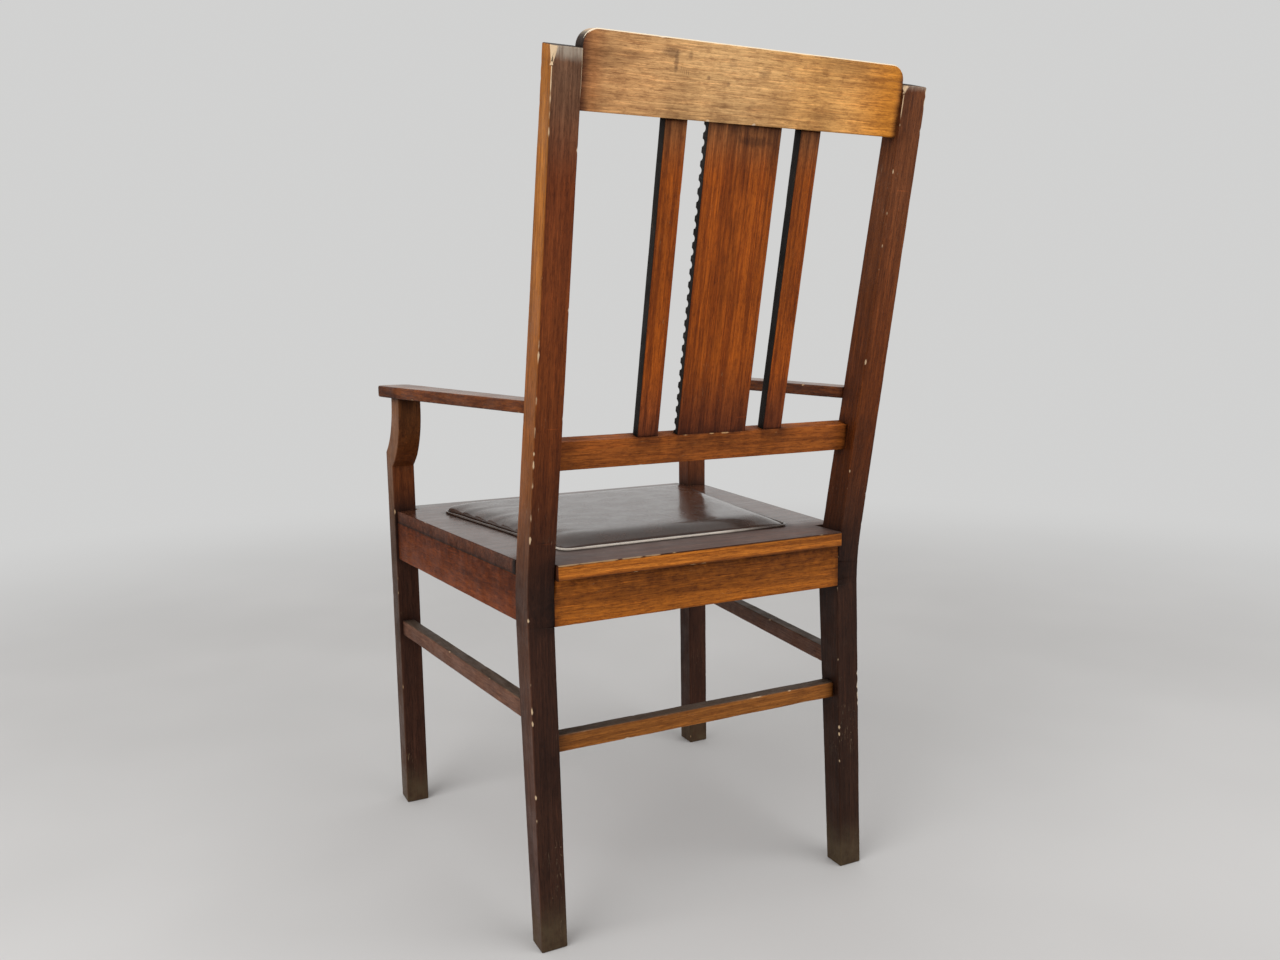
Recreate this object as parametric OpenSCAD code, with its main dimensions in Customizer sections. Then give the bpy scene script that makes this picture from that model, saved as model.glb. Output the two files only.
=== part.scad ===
// Open armchair with a raked, slatted back, a loose seat board and a leather pad.
// The sitter faces -Y. Left is the sitter's left, at +X. The chair stands on Z = 0.

/* [Seat] */
// Height of the top of the seat board above the floor
seat_h = 449; // [400:1:500]
// Thickness of the seat board
board_t = 18; // [14:1:24]
// How far the seat board stands out behind the rear seat rail
board_rear_lip = 10; // [0:1:16]
// How far the seat board stands out in front of the front posts
board_front_lip = 2; // [0:0.5:12]
// Open gap between the seat board and the fronts of the rear posts
board_rear_gap = 12; // [2:1:20]
// Clearance round the other sides of the posts in the board's notches
board_notch_gap = 1.5; // [0.5:0.5:4]

/* [Frame] */
// Width across the outer faces of the front posts
front_w = 524; // [440:2:620]
// Width across the outer faces of the rear posts
rear_w = 454; // [380:2:540]
// Distance from the front of the front posts to the back of the knee of the rear posts
frame_d = 484; // [400:2:560]
// Width of all four posts, side to side
post_w = 32; // [26:1:40]
// Depth of the front legs, front to back
leg_d = 34; // [28:1:42]

/* [Rear posts] */
// Height of the knee where the rear posts change direction
knee_h = 410; // [380:1:425]
// Depth of the rear posts at the knee
knee_d = 41; // [34:1:50]
// Depth of the rear posts at the foot
foot_d = 30; // [24:1:38]
// Depth of the rear posts at the top, square to the back
post_top_d = 27.5; // [20:0.5:34]
// How far the foot stands behind the knee
foot_splay = 16; // [0:1:40]
// Rake of the back from upright, in degrees
rake = 12.7; // [6:0.1:18]
// Length of the rear posts above the seat, along the rake
post_rise = 541.5; // [460:0.5:600]
// How far the tops of the rear posts slope down to the back
top_slope = 2.5; // [0:0.5:5]
// Radius that blends the knee
knee_r = 350; // [200:10:450]
// Size of the chips broken off the tops of the rear posts
top_chip = 6; // [2:1:9]

/* [Back] */
// Height of the underside of the lower back rail above the seat, along the rake
lower_rail_lift = 112; // [80:1:150]
// Height of the lower back rail
lower_rail_h = 33; // [24:1:46]
// Thickness of the lower back rail
lower_rail_t = 19.5; // [16:0.5:25]
// Height of the underside of the crest rail above the seat, along the rake
crest_lift = 485; // [420:1:500]
// Height of the crest rail
crest_h = 76; // [62:1:100]
// Thickness of the crest rail
crest_t = 19; // [16:0.5:22]
// How far the crest rail stands behind the fronts of the rear posts
crest_setback = 5; // [0:0.5:7]
// Radius of the crest rail's top corners
crest_corner_r = 17; // [6:1:24]
// Width of the centre splat
splat_w = 91; // [60:1:130]
// Width of the two narrow slats
slat_w = 26; // [18:1:36]
// Distance from the middle of the back to the middle of a narrow slat
slat_offset = 83.5; // [78:0.5:120]
// Thickness of the narrow slats
slat_t = 13; // [10:0.5:16]
// Thickness of the centre splat
splat_t = 10; // [9:0.5:14]
// Number of gouge cuts down each front edge of the splat
scallops = 24; // [8:1:27]
// Depth of a gouge cut, square to the splat's front edge
scallop_depth = 3; // [1:0.5:4]

/* [Arms] */
// Height of the underside of the arms above the floor
arm_h = 616; // [570:1:660]
// Thickness of the arms
arm_t = 16; // [13:1:22]
// How much thinner an arm is at the rear post
arm_taper = 2; // [0:0.5:3]
// Width of an arm at its front end
arm_front_w = 48; // [42:1:60]
// Width of an arm where it meets the rear post
arm_rear_w = 30; // [20:1:32]
// How far an arm's outer edge stands outside the front post
arm_side_lip = 14; // [4:1:24]
// How far an arm's outer edge stays inside the rear post's outer face
arm_rear_inset = 4; // [1:1:8]
// How far an arm runs on in front of the top of its front post
arm_front_lip = 38; // [20:1:60]
// Radius of the corners of an arm's front end
arm_corner_r = 16; // [6:1:20]
// Radius of the sweep that sets the arm support back from the leg
sweep_r = 96; // [86:1:140]
// Height that the sweep takes on the front face of the arm support
front_sweep_rise = 82; // [60:1:85]
// Height that the sweep takes on the rear face of the arm support
rear_sweep_rise = 85; // [60:1:85]
// Straight stretch under the arm, on the rear face of the arm support
rear_sweep_drop = 16; // [4:1:24]

/* [Rails and stretchers] */
// Height of the four seat rails
rail_h = 54; // [44:1:70]
// Thickness of the four seat rails
rail_t = 22; // [18:1:26]
// How far the seat rails lie inside the outer faces of the posts
rail_inset = 4; // [2:0.5:5]
// How far the side stretchers lie inside the outer faces of the posts
stretcher_inset = 5; // [2:0.5:8]
// Height of the side stretchers above the floor, to their undersides
side_stretcher_lift = 262; // [200:1:320]
// Height of the side stretchers
side_stretcher_h = 22; // [16:1:30]
// Thickness of the side stretchers
side_stretcher_t = 17; // [12:1:20]
// Height of the rear stretcher above the floor, to its underside
rear_stretcher_lift = 227; // [150:1:236]
// Height of the rear stretcher
rear_stretcher_h = 20.5; // [16:0.5:24]
// Thickness of the rear stretcher
rear_stretcher_t = 18.5; // [14:0.5:22]

/* [Pad] */
// Width of the leather pad at the front
pad_front_w = 408; // [320:2:440]
// Width of the leather pad at the rear
pad_rear_w = 320; // [260:2:350]
// Distance from the board's front edge to the front of the pad
pad_front_margin = 80; // [50:1:110]
// Distance from the pad's rear edge to the rear edge of the board
pad_rear_margin = 67; // [60:1:100]
// Thickness of the leather pad
pad_t = 10; // [6:1:24]
// Radius of the pad's corners
pad_corner_r = 14; // [6:1:30]

/* [Joints] */
// Glue-line clearance on each side of a tenon, dowel or screw
glue_gap = 0.1; // [0.05:0.05:0.3]
// Space left at the end of a tenon, dowel or screw in its hole
end_gap = 0.8; // [0.5:0.1:1]
// Diameter of the dowels
dowel_d = 9; // [6:0.5:10]
// Depth that a dowel goes into each piece
dowel_depth = 17; // [10:1:20]
// Length of the tenons on the slats, splat, arms and arm supports
short_tenon = 9; // [6:0.5:11]
// Length of the tenons on the stretchers
long_tenon = 14; // [8:1:20]
// Length of the two short sides of a corner block
block_leg = 62; // [50:1:70]
// Height of a corner block
block_h = 28; // [24:1:34]
// Diameter of the wood screws' shanks
screw_d = 4; // [3:0.5:5]
// Diameter of the wood screws' heads
screw_head_d = 8; // [6:0.5:9]

/* [Hidden] */
$fn = 48;

LEFT = 1;
RIGHT = -1;
FAR = 400;
OVER = 1;
ARC_STEPS = 10;

// Colours
post_colour = "#4a2a1e";
rail_colour = "#8a4f22";
crest_colour = "#b5803f";
board_colour = "#5a3a2a";
leather_colour = "#2a1a14";
hidden_colour = "#c69a62";
steel_colour = "#8d8a84";

// Frame lines, measured from the front faces of the front posts
front_x = front_w / 2;
rear_x = rear_w / 2;
rear_in_x = rear_x - post_w;
board_under = seat_h - board_t;
rail_z = board_under - rail_h;

// Rear post side profile: the knee, the foot, and the top square to the rake
knee_back = frame_d;
knee_front = frame_d - knee_d;
foot_back = knee_back + foot_splay;
seat_line_y = knee_front + (seat_h - knee_h) * tan(rake);
top_front = rake_point(0, post_rise + top_slope);
top_back = rake_point(post_top_d, post_rise);

// Arm support: how far each sweep sets its face back
front_setback = sweep_r - sqrt(pow(sweep_r, 2) - pow(front_sweep_rise, 2));
rear_setback = sweep_r - sqrt(pow(sweep_r, 2) - pow(rear_sweep_rise, 2));
support_mid_y = (front_setback + leg_d + rear_setback) / 2;
support_tenon_w = 18;
arm_tenon_shoulder = 5;

// Front and rear ends of the arms
arm_rear_y = post_front_y(arm_h + arm_t / 2);
arm_front_y = front_setback - arm_front_lip;

// Every tenon is drawn this far back into its own piece, to be one with it
tenon_root = 10;

// Back: splat and slats are flush behind, just in front of the back of the lower rail
slat_inset = 0.6;
slat_back_v = lower_rail_t - slat_inset;
slat_w0 = lower_rail_lift + lower_rail_h;
slat_len = crest_lift - slat_w0;
slat_tenon_t = 6;
slat_tenon_shoulder = 3;
gouge_r = 4.5;

// Seat board, rails and stretchers
board_front = -board_front_lip;
rear_rail_proud = 2;
rail_back = knee_back + rear_rail_proud;
board_rear = rail_back + board_rear_lip;
notch_front_y = post_front_y(seat_h) - board_rear_gap;
rail_back_y = rail_back - rail_t;
front_rail_back = rail_inset + rail_t;
rear_stretcher_inset = 4.5;
rear_stretcher_back = knee_back - rear_stretcher_inset;
rear_stretcher_mid = rear_stretcher_lift + rear_stretcher_h / 2;
side_stretcher_mid = side_stretcher_lift + side_stretcher_h / 2;

// Tenons of the stretchers, as shares of the stretcher's thickness and height
tenon_share_t = 0.5;
tenon_share_h = 0.6;

// Dowels, as shares of the rail's height: those of the side rails miss those of the cross rails
side_dowel_shares = [0.17, 0.64];
cross_dowel_shares = [0.4, 0.87];
back_dowel_shares = [0.26, 0.74];

// Screws of the corner blocks and of the seat board
screw_head_h = 2.5;
screw_bite = 12;
block_z = board_under - block_h;
block_screw_rise = 8.4;
block_screw_z = block_z + block_screw_rise;
block_screw_along = block_leg - 16;
block_screw_seat = 14;
board_screw_in = 18.6;
block_nose = 9;
block_screw_l = block_screw_seat + screw_bite;
board_screw_l = block_h - screw_head_h + screw_bite;

// The origin is under the middle of the chair's box
crest_back = rake_point(crest_setback + crest_t, crest_lift + crest_h);
y_mid = (min(board_front, arm_front_y) + max(top_back[0], crest_back[0])) / 2;

// A point v behind the rake line and w up along it, as [y, z]
function rake_point(v, w) =
    [seat_line_y + w * sin(rake) + v * cos(rake), seat_h + w * cos(rake) - v * sin(rake)];

// Front face of the straight upper and lower parts of a rear post at height z
function post_front_y(z) = (z > knee_h)
    ? knee_front + (z - knee_h) * tan(rake)
    : knee_front + (knee_h - z) / knee_h * (foot_back - foot_d - knee_front);

// Distance from the middle to a line that runs inset from the posts' outer faces, at depth y
function side_line(y, inset) =
    front_x - inset + (y - leg_d) / (knee_front - leg_d) * (rear_x - front_x);

// Outer and inner edges of an arm at depth y
function arm_outer(y) = let(f = (y - arm_front_y) / (arm_rear_y - arm_front_y))
    (front_x + arm_side_lip) * (1 - f) + (rear_x - arm_rear_inset) * f;
function arm_inner(y) = let(f = (y - arm_front_y) / (arm_rear_y - arm_front_y))
    arm_outer(y) - arm_front_w * (1 - f) - arm_rear_w * f;

// Half width of the pad at depth y
pad_front = board_front + pad_front_margin;
pad_rear = board_rear - pad_rear_margin;
function pad_half(y) =
    (pad_front_w + (y - pad_front) / (pad_rear - pad_front) * (pad_rear_w - pad_front_w)) / 2;

// Points of an arc of radius r that blends the corner b of the path a, b, c
function unit(v) = v / norm(v);
function blend(a, b, c, r) =
    let(
        u = unit(a - b),
        w = unit(c - b),
        half = acos(u * w) / 2,
        reach = r / tan(half),
        centre = b + unit(u + w) * r / sin(half),
        from = b + u * reach - centre,
        to = b + w * reach - centre,
        sweep = atan2(from[0] * to[1] - from[1] * to[0], from * to)
    )
    [for (i = [0:ARC_STEPS])
        let(t = sweep * i / ARC_STEPS)
        centre + [from[0] * cos(t) - from[1] * sin(t), from[0] * sin(t) + from[1] * cos(t)]];

// Moves the chair so that its origin is under the middle of its box
module place() {
    translate([0, -y_mid, 0]) children();
}

// Draws a left-hand piece, or its mirror image on the right
module on_side(side) {
    place() mirror([side == RIGHT ? 1 : 0, 0, 0]) children();
}

// Draws a left-hand piece and its mirror image
module both_sides() {
    children();
    mirror([1, 0, 0]) children();
}

// Extrudes a [y, z] outline sideways between two distances from the middle
module side_profile(points, x0, x1) {
    translate([x0, 0, 0])
        rotate([90, 0, 90])
            linear_extrude(x1 - x0) polygon(points);
}

// Puts children, drawn with X across, Y behind and Z along the rake, on the back's line
module on_back() {
    translate([0, seat_line_y, seat_h]) rotate([-rake, 0, 0]) children();
}

// A box given by its two opposite corners
module block(low, high) {
    translate(low) cube(high - low);
}

// A hole or pin along X, from x0 to x1
module rod_x(x0, x1, y, z, d) {
    translate([x0, y, z]) rotate([0, 90, 0]) cylinder(h = x1 - x0, d = d);
}

// A hole or pin along Y, from y0 to y1
module rod_y(y0, y1, x, z, d) {
    translate([x, y0, z]) rotate([-90, 0, 0]) cylinder(h = y1 - y0, d = d);
}

/* ---------- joints: each is drawn once, and grown by the clearance for its hole ---------- */

// Dowels between the seat rails and the left posts
module left_seat_dowels(grow = 0, stretch = 0) {
    reach = dowel_depth + stretch;
    for (share = side_dowel_shares) {
        z = rail_z + rail_h * share;
        x_front = side_line(leg_d, rail_inset + rail_t / 2);
        x_rear = side_line(knee_front, rail_inset + rail_t / 2);
        rod_y(leg_d - reach, leg_d + reach, x_front, z, dowel_d + 2 * grow);
        rod_y(knee_front - reach, knee_front + reach, x_rear, z, dowel_d + 2 * grow);
    }
    for (share = cross_dowel_shares) {
        z = rail_z + rail_h * share;
        front_in_x = front_x - post_w;
        rod_x(front_in_x - reach, front_in_x + reach, rail_inset + rail_t / 2, z, dowel_d + 2 * grow);
        rod_x(rear_in_x - reach, rear_in_x + reach, rail_back - rail_t / 2, z, dowel_d + 2 * grow);
    }
}

// Dowels between a back rail and the left rear post, v behind the rake line
module left_back_dowels(lift, height, v, grow = 0, stretch = 0) {
    reach = dowel_depth + stretch;
    for (share = back_dowel_shares)
        on_back() rod_x(rear_in_x - reach, rear_in_x + reach, v, lift + height * share,
            dowel_d + 2 * grow);
}

module left_crest_dowels(grow = 0, stretch = 0) {
    left_back_dowels(crest_lift, post_rise - crest_lift, crest_setback + crest_t / 2, grow, stretch);
}

module left_lower_rail_dowels(grow = 0, stretch = 0) {
    left_back_dowels(lower_rail_lift, lower_rail_h, lower_rail_t / 2, grow, stretch);
}

// Tenons at both ends of a slat of width w and thickness t, whose middle is at x
module slat_tenons(x, w, t, grow = 0, stretch = 0) {
    reach = short_tenon + stretch;
    half = w / 2 - slat_tenon_shoulder + grow;
    v = slat_back_v - t / 2;
    half_t = slat_tenon_t / 2 + grow;
    on_back() {
        block([x - half, v - half_t, slat_w0 - reach], [x + half, v + half_t, slat_w0]);
        block([x - half, v - half_t, crest_lift], [x + half, v + half_t, crest_lift + reach]);
    }
}

// All the tenons of the splat and slats, as mortises
module slat_mortises() {
    slat_tenons(0, splat_w, splat_t, glue_gap, end_gap);
    slat_tenons(slat_offset, slat_w, slat_t, glue_gap, end_gap);
    slat_tenons(-slat_offset, slat_w, slat_t, glue_gap, end_gap);
}

// Tenon on top of the left arm support
module support_tenon(grow = 0, stretch = 0) {
    half_x = post_w / 4 + grow;
    half_y = support_tenon_w / 2 + grow;
    x = front_x - post_w / 2;
    block([x - half_x, support_mid_y - half_y, arm_h - tenon_root],
        [x + half_x, support_mid_y + half_y, arm_h + short_tenon + stretch]);
}

// Tenon on the rear end of the left arm
module arm_tenon(grow = 0, stretch = 0) {
    x = (arm_outer(arm_rear_y) + arm_inner(arm_rear_y)) / 2;
    half_x = arm_rear_w / 2 - arm_tenon_shoulder + grow;
    z = arm_h + arm_t / 2;
    half_z = arm_t / 4 + grow;
    block([x - half_x, arm_rear_y - tenon_root, z - half_z],
        [x + half_x, arm_rear_y + short_tenon + stretch, z + half_z]);
}

// Tenons at the front and rear ends of the left side stretcher
module side_stretcher_tenons(grow = 0, stretch = 0) {
    half_x = side_stretcher_t * tenon_share_t / 2 + grow;
    half_z = side_stretcher_h * tenon_share_h / 2 + grow;
    reach = long_tenon + stretch;
    rear_y = post_front_y(side_stretcher_mid);
    for (end = [[leg_d - reach, leg_d + tenon_root], [rear_y - tenon_root, rear_y + reach]]) {
        x = side_line((end[0] + end[1]) / 2, stretcher_inset + side_stretcher_t / 2);
        block([x - half_x, end[0], side_stretcher_mid - half_z],
            [x + half_x, end[1], side_stretcher_mid + half_z]);
    }
}

// Tenon at the left end of the rear stretcher
module rear_stretcher_tenon(grow = 0, stretch = 0) {
    y = rear_stretcher_back - rear_stretcher_t / 2;
    half_y = rear_stretcher_t * tenon_share_t / 2 + grow;
    half_z = rear_stretcher_h * tenon_share_h / 2 + grow;
    block([rear_in_x - tenon_root, y - half_y, rear_stretcher_mid - half_z],
        [rear_in_x + long_tenon + stretch, y + half_y, rear_stretcher_mid + half_z]);
}

// Screw that points along +Z with the underside of its head at the origin
module screw(length, grow = 0, stretch = 0) {
    cylinder(h = length + stretch, d = screw_d + 2 * grow);
    translate([0, 0, -screw_head_h]) cylinder(h = screw_head_h, d = screw_head_d + 2 * grow);
}

// Clears a screw's head back to the open air
module head_recess() {
    translate([0, 0, -block_leg]) cylinder(h = block_leg, d = screw_head_d + 2 * glue_gap);
}

// Puts children at the two screws of a left corner block; toward is 1 at the front, -1 at the rear
module at_block_screws(corner_y, toward) {
    side_y = corner_y + toward * block_screw_along;
    side_x = side_line(side_y, rail_inset + rail_t) - block_screw_seat;
    translate([side_x, side_y, block_screw_z]) rotate([0, 90, 0]) children();
    cross_x = side_line(corner_y, rail_inset + rail_t) - block_screw_along;
    translate([cross_x, corner_y + toward * block_screw_seat, block_screw_z])
        rotate([toward * 90, 0, 0]) children();
}

// Puts children at the screw that goes up through a left corner block into the seat board
module at_board_screw(corner_y, toward) {
    x = side_line(corner_y, rail_inset + rail_t) - board_screw_in;
    translate([x, corner_y + toward * board_screw_in, block_z + screw_head_h]) children();
}

// The holes of the screws of the left corner blocks
module left_screw_holes() {
    for (corner = [[front_rail_back, 1], [rail_back_y, -1]]) {
        at_block_screws(corner[0], corner[1]) screw(block_screw_l, glue_gap, end_gap);
        at_board_screw(corner[0], corner[1]) screw(board_screw_l, glue_gap, end_gap);
    }
}

// The same holes, open behind the screws' heads
module left_recessed_holes() {
    left_screw_holes();
    for (corner = [[front_rail_back, 1], [rail_back_y, -1]]) {
        at_block_screws(corner[0], corner[1]) head_recess();
        at_board_screw(corner[0], corner[1]) head_recess();
    }
}

/* ---------- posts ---------- */

// Solid rear post without its joints
module rear_post_blank() {
    knee_f = [knee_front, knee_h];
    knee_b = [knee_back, knee_h];
    foot_f = [foot_back - foot_d, 0];
    foot_b = [foot_back, 0];
    outline = concat(
        [foot_b],
        blend(foot_b, knee_b, top_back, knee_r),
        [top_back, top_front],
        blend(top_front, knee_f, foot_f, knee_r),
        [foot_f]
    );
    side_profile(outline, rear_in_x, rear_x);
}

// A chip broken off the top back corner of a rear post at x, which fades out down the edge;
// outward is the angle, from +X, that the corner faces
module post_top_chip(x, long, outward) {
    depth = top_chip / sqrt(2);
    translate([x, top_back[0], top_back[1]])
        rotate([-rake, 0, 0]) rotate([0, 0, outward]) translate([0, 0, -long])
            rotate([0, -atan(depth / long), 0]) translate([0, -top_chip, 0])
                cube([top_chip, 2 * top_chip, 2 * long]);
}

module left_rear_post() {
    difference() {
        rear_post_blank();
        left_seat_dowels(glue_gap, end_gap);
        left_crest_dowels(glue_gap, end_gap);
        left_lower_rail_dowels(glue_gap, end_gap);
        arm_tenon(glue_gap, end_gap);
        side_stretcher_tenons(glue_gap, end_gap);
        rear_stretcher_tenon(glue_gap, end_gap);
    }
}

module rear_post_left() {
    color(post_colour) on_side(LEFT) difference() {
        left_rear_post();
        post_top_chip(rear_x, 3 * top_chip, 45);
    }
}

module rear_post_right() {
    color(post_colour) on_side(RIGHT) difference() {
        left_rear_post();
        post_top_chip(rear_in_x, 1.5 * top_chip, 135);
    }
}

// Points of one face of the sweep, from its foot up to where it stands upright
function sweep_face(y0, z_top, rise) =
    [for (i = [0:ARC_STEPS])
        let(
            drop = rise * (1 - i / ARC_STEPS),
            setback = sweep_r - sqrt(pow(sweep_r, 2) - pow(rise, 2))
        )
        [y0 + setback - sweep_r + sqrt(pow(sweep_r, 2) - pow(drop, 2)), z_top - drop]];

function reversed(list) = [for (i = [len(list) - 1:-1:0]) list[i]];

module left_front_post() {
    rear_face = sweep_face(leg_d, arm_h - rear_sweep_drop, rear_sweep_rise);
    front_face = sweep_face(0, arm_h, front_sweep_rise);
    outline = concat(
        [[0, 0], [leg_d, 0]],
        rear_face,
        [[leg_d + rear_setback, arm_h]],
        reversed(front_face)
    );
    difference() {
        union() {
            side_profile(outline, front_x - post_w, front_x);
            support_tenon();
        }
        left_seat_dowels(glue_gap, end_gap);
        side_stretcher_tenons(glue_gap, end_gap);
    }
}

module front_post_left() {
    color(post_colour) on_side(LEFT) left_front_post();
}

module front_post_right() {
    color(post_colour) on_side(RIGHT) left_front_post();
}

/* ---------- back ---------- */

// Crest rail outline: square below, large round corners above
module crest_outline() {
    hw = rear_in_x;
    top = crest_lift + crest_h;
    translate([-hw, crest_lift]) square([2 * hw, crest_h - crest_corner_r]);
    translate([-hw + crest_corner_r, top - crest_corner_r - OVER])
        square([2 * (hw - crest_corner_r), crest_corner_r + OVER]);
    for (side = [-1, 1])
        translate([side * (hw - crest_corner_r), top - crest_corner_r]) circle(crest_corner_r);
}

module crest_rail() {
    color(crest_colour) place() difference() {
        on_back() translate([0, crest_setback + crest_t, 0]) rotate([90, 0, 0])
            linear_extrude(crest_t) crest_outline();
        slat_mortises();
        both_sides() left_crest_dowels(glue_gap, end_gap);
    }
}

module lower_back_rail() {
    color(rail_colour) place() difference() {
        on_back() block([-rear_in_x, 0, lower_rail_lift],
            [rear_in_x, lower_rail_t, lower_rail_lift + lower_rail_h]);
        slat_mortises();
        both_sides() left_lower_rail_dowels(glue_gap, end_gap);
    }
}

// A plain slat between the back rails, with its tenons
module slat(x, w, t) {
    on_back() block([x - w / 2, slat_back_v - t, slat_w0], [x + w / 2, slat_back_v, crest_lift]);
    slat_tenons(x, w, t);
}

// Gouge cuts down one front edge of the splat: slanting, so the rear edge stays straight
module gouge_cuts(side) {
    pitch = slat_len / scallops;
    for (i = [0:scallops - 1])
        on_back() translate([side * splat_w / 2, slat_back_v - splat_t, slat_w0 + (i + 0.5) * pitch])
            rotate([0, 0, side * 45]) translate([0, scallop_depth - gouge_r, 0])
                rotate([0, 90, 0]) cylinder(h = splat_t * 3, r = gouge_r, center = true);
}

module centre_splat() {
    color(rail_colour) place() difference() {
        slat(0, splat_w, splat_t);
        gouge_cuts(1);
        gouge_cuts(-1);
    }
}

module back_slat_left() {
    color(rail_colour) place() slat(slat_offset, slat_w, slat_t);
}

module back_slat_right() {
    color(rail_colour) place() slat(-slat_offset, slat_w, slat_t);
}

/* ---------- seat frame ---------- */

// A bar beside the side lines, from depth y0 to y1; its outer face lies inset from the posts
module side_bar(y0, y1, inset, thickness) {
    polygon([
        [side_line(y0, inset), y0],
        [side_line(y1, inset), y1],
        [side_line(y1, inset + thickness), y1],
        [side_line(y0, inset + thickness), y0]
    ]);
}

module left_side_rail() {
    difference() {
        translate([0, 0, rail_z]) linear_extrude(rail_h)
            side_bar(leg_d, knee_back, rail_inset, rail_t);
        rear_post_blank();
        block([0, rail_back_y, 0], [rear_in_x, FAR * 2, seat_h]);
        left_seat_dowels(glue_gap, end_gap);
        left_screw_holes();
    }
}

module side_seat_rail_left() {
    color(rail_colour) on_side(LEFT) left_side_rail();
}

module side_seat_rail_right() {
    color(rail_colour) on_side(RIGHT) left_side_rail();
}

// A seat rail that runs across between two posts whose inner faces are half apart
module cross_rail(half, y0) {
    difference() {
        block([-half, y0, rail_z], [half, y0 + rail_t, board_under]);
        both_sides() {
            left_seat_dowels(glue_gap, end_gap);
            left_screw_holes();
        }
    }
}

module front_seat_rail() {
    color(rail_colour) place() cross_rail(front_x - post_w, rail_inset);
}

module rear_seat_rail() {
    color(rail_colour) place() cross_rail(rear_in_x, rail_back_y);
}

// A left corner block in the angle between a cross rail and the side rail
module left_corner_block(corner_y, toward) {
    function inner_x(y) = side_line(y, rail_inset + rail_t);
    end_y = corner_y + toward * block_leg;
    difference() {
        translate([0, 0, block_z]) linear_extrude(block_h) polygon([
            [inner_x(corner_y), corner_y],
            [inner_x(end_y), end_y],
            [inner_x(end_y) - block_nose, end_y],
            [inner_x(corner_y) - block_leg, corner_y + toward * block_nose],
            [inner_x(corner_y) - block_leg, corner_y]
        ]);
        block([front_x - post_w - glue_gap, 0, 0], [front_x, leg_d + glue_gap, seat_h]);
        translate([0, -glue_gap, 0]) rear_post_blank();
        translate([-glue_gap, -glue_gap, 0]) rear_post_blank();
        left_recessed_holes();
    }
}

module corner_block_front_left() {
    color(hidden_colour) on_side(LEFT) left_corner_block(front_rail_back, 1);
}

module corner_block_front_right() {
    color(hidden_colour) on_side(RIGHT) left_corner_block(front_rail_back, 1);
}

module corner_block_rear_left() {
    color(hidden_colour) on_side(LEFT) left_corner_block(rail_back_y, -1);
}

module corner_block_rear_right() {
    color(hidden_colour) on_side(RIGHT) left_corner_block(rail_back_y, -1);
}

/* ---------- stretchers ---------- */

module left_side_stretcher() {
    difference() {
        translate([0, 0, side_stretcher_lift]) linear_extrude(side_stretcher_h)
            side_bar(leg_d, knee_back, stretcher_inset, side_stretcher_t);
        rear_post_blank();
        block([0, knee_back, 0], [FAR, FAR * 2, seat_h]);
    }
    side_stretcher_tenons();
}

module side_stretcher_left() {
    color(rail_colour) on_side(LEFT) left_side_stretcher();
}

module side_stretcher_right() {
    color(rail_colour) on_side(RIGHT) left_side_stretcher();
}

module rear_stretcher() {
    color(rail_colour) place() {
        block([-rear_in_x, rear_stretcher_back - rear_stretcher_t, rear_stretcher_lift],
            [rear_in_x, rear_stretcher_back, rear_stretcher_lift + rear_stretcher_h]);
        both_sides() rear_stretcher_tenon();
    }
}

/* ---------- seat board and pad ---------- */

// Left half of the board's edge, from front to rear
board_edge = let(
    post_side = front_x - post_w - board_notch_gap,
    clear_y = leg_d + board_notch_gap,
    rear_side = rear_in_x - board_notch_gap
) [
    [post_side, board_front],
    [post_side, clear_y],
    [side_line(clear_y, rail_inset), clear_y],
    [side_line(notch_front_y, rail_inset), notch_front_y],
    [rear_side, notch_front_y],
    [rear_side, board_rear]
];

module seat_board() {
    color(board_colour) place() difference() {
        translate([0, 0, board_under]) linear_extrude(board_t)
            polygon(concat(board_edge, reversed([for (p = board_edge) [-p[0], p[1]]])));
        both_sides() left_screw_holes();
    }
}

module seat_pad() {
    corners = [
        [pad_half(pad_front), pad_front],
        [pad_half(pad_rear), pad_rear],
        [-pad_half(pad_rear), pad_rear],
        [-pad_half(pad_front), pad_front]
    ];
    outline = [for (i = [0:3])
        each blend(corners[(i + 3) % 4], corners[i], corners[(i + 1) % 4], pad_corner_r)];
    color(leather_colour) place() translate([0, 0, seat_h]) linear_extrude(pad_t) polygon(outline);
}

/* ---------- arms ---------- */

module left_arm() {
    y1 = arm_rear_y + arm_t;
    outer_front = [arm_outer(arm_front_y), arm_front_y];
    inner_front = [arm_inner(arm_front_y), arm_front_y];
    outer_rear = [arm_outer(y1), y1];
    inner_rear = [arm_inner(y1), y1];
    outline = concat(
        blend(outer_rear, outer_front, inner_front, arm_corner_r),
        blend(outer_front, inner_front, inner_rear, arm_corner_r),
        [inner_rear, outer_rear]
    );
    difference() {
        translate([0, 0, arm_h]) linear_extrude(arm_t) polygon(outline);
        arm_taper_cut();
        rake_clear();
        support_tenon(glue_gap, end_gap);
    }
    arm_tenon();
}

// Wedge taken off the underside of the left arm behind its support
module arm_taper_cut() {
    y0 = leg_d + rear_setback;
    y1 = 2 * arm_rear_y - y0;
    side_profile([[y0, arm_h - OVER], [y1, arm_h - OVER], [y1, arm_h + 2 * arm_taper], [y0, arm_h]],
        0, FAR);
}

// Everything behind the front faces of the rear posts, from the seat up
module rake_clear() {
    on_back() block([0, 0, 0], [FAR, FAR, post_rise]);
}

module arm_left() {
    color(post_colour) on_side(LEFT) left_arm();
}

module arm_right() {
    color(post_colour) on_side(RIGHT) left_arm();
}

/* ---------- fasteners ---------- */

module seat_rail_dowels() {
    color(hidden_colour) place() both_sides() left_seat_dowels();
}

module lower_rail_dowels() {
    color(hidden_colour) place() both_sides() left_lower_rail_dowels();
}

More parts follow.
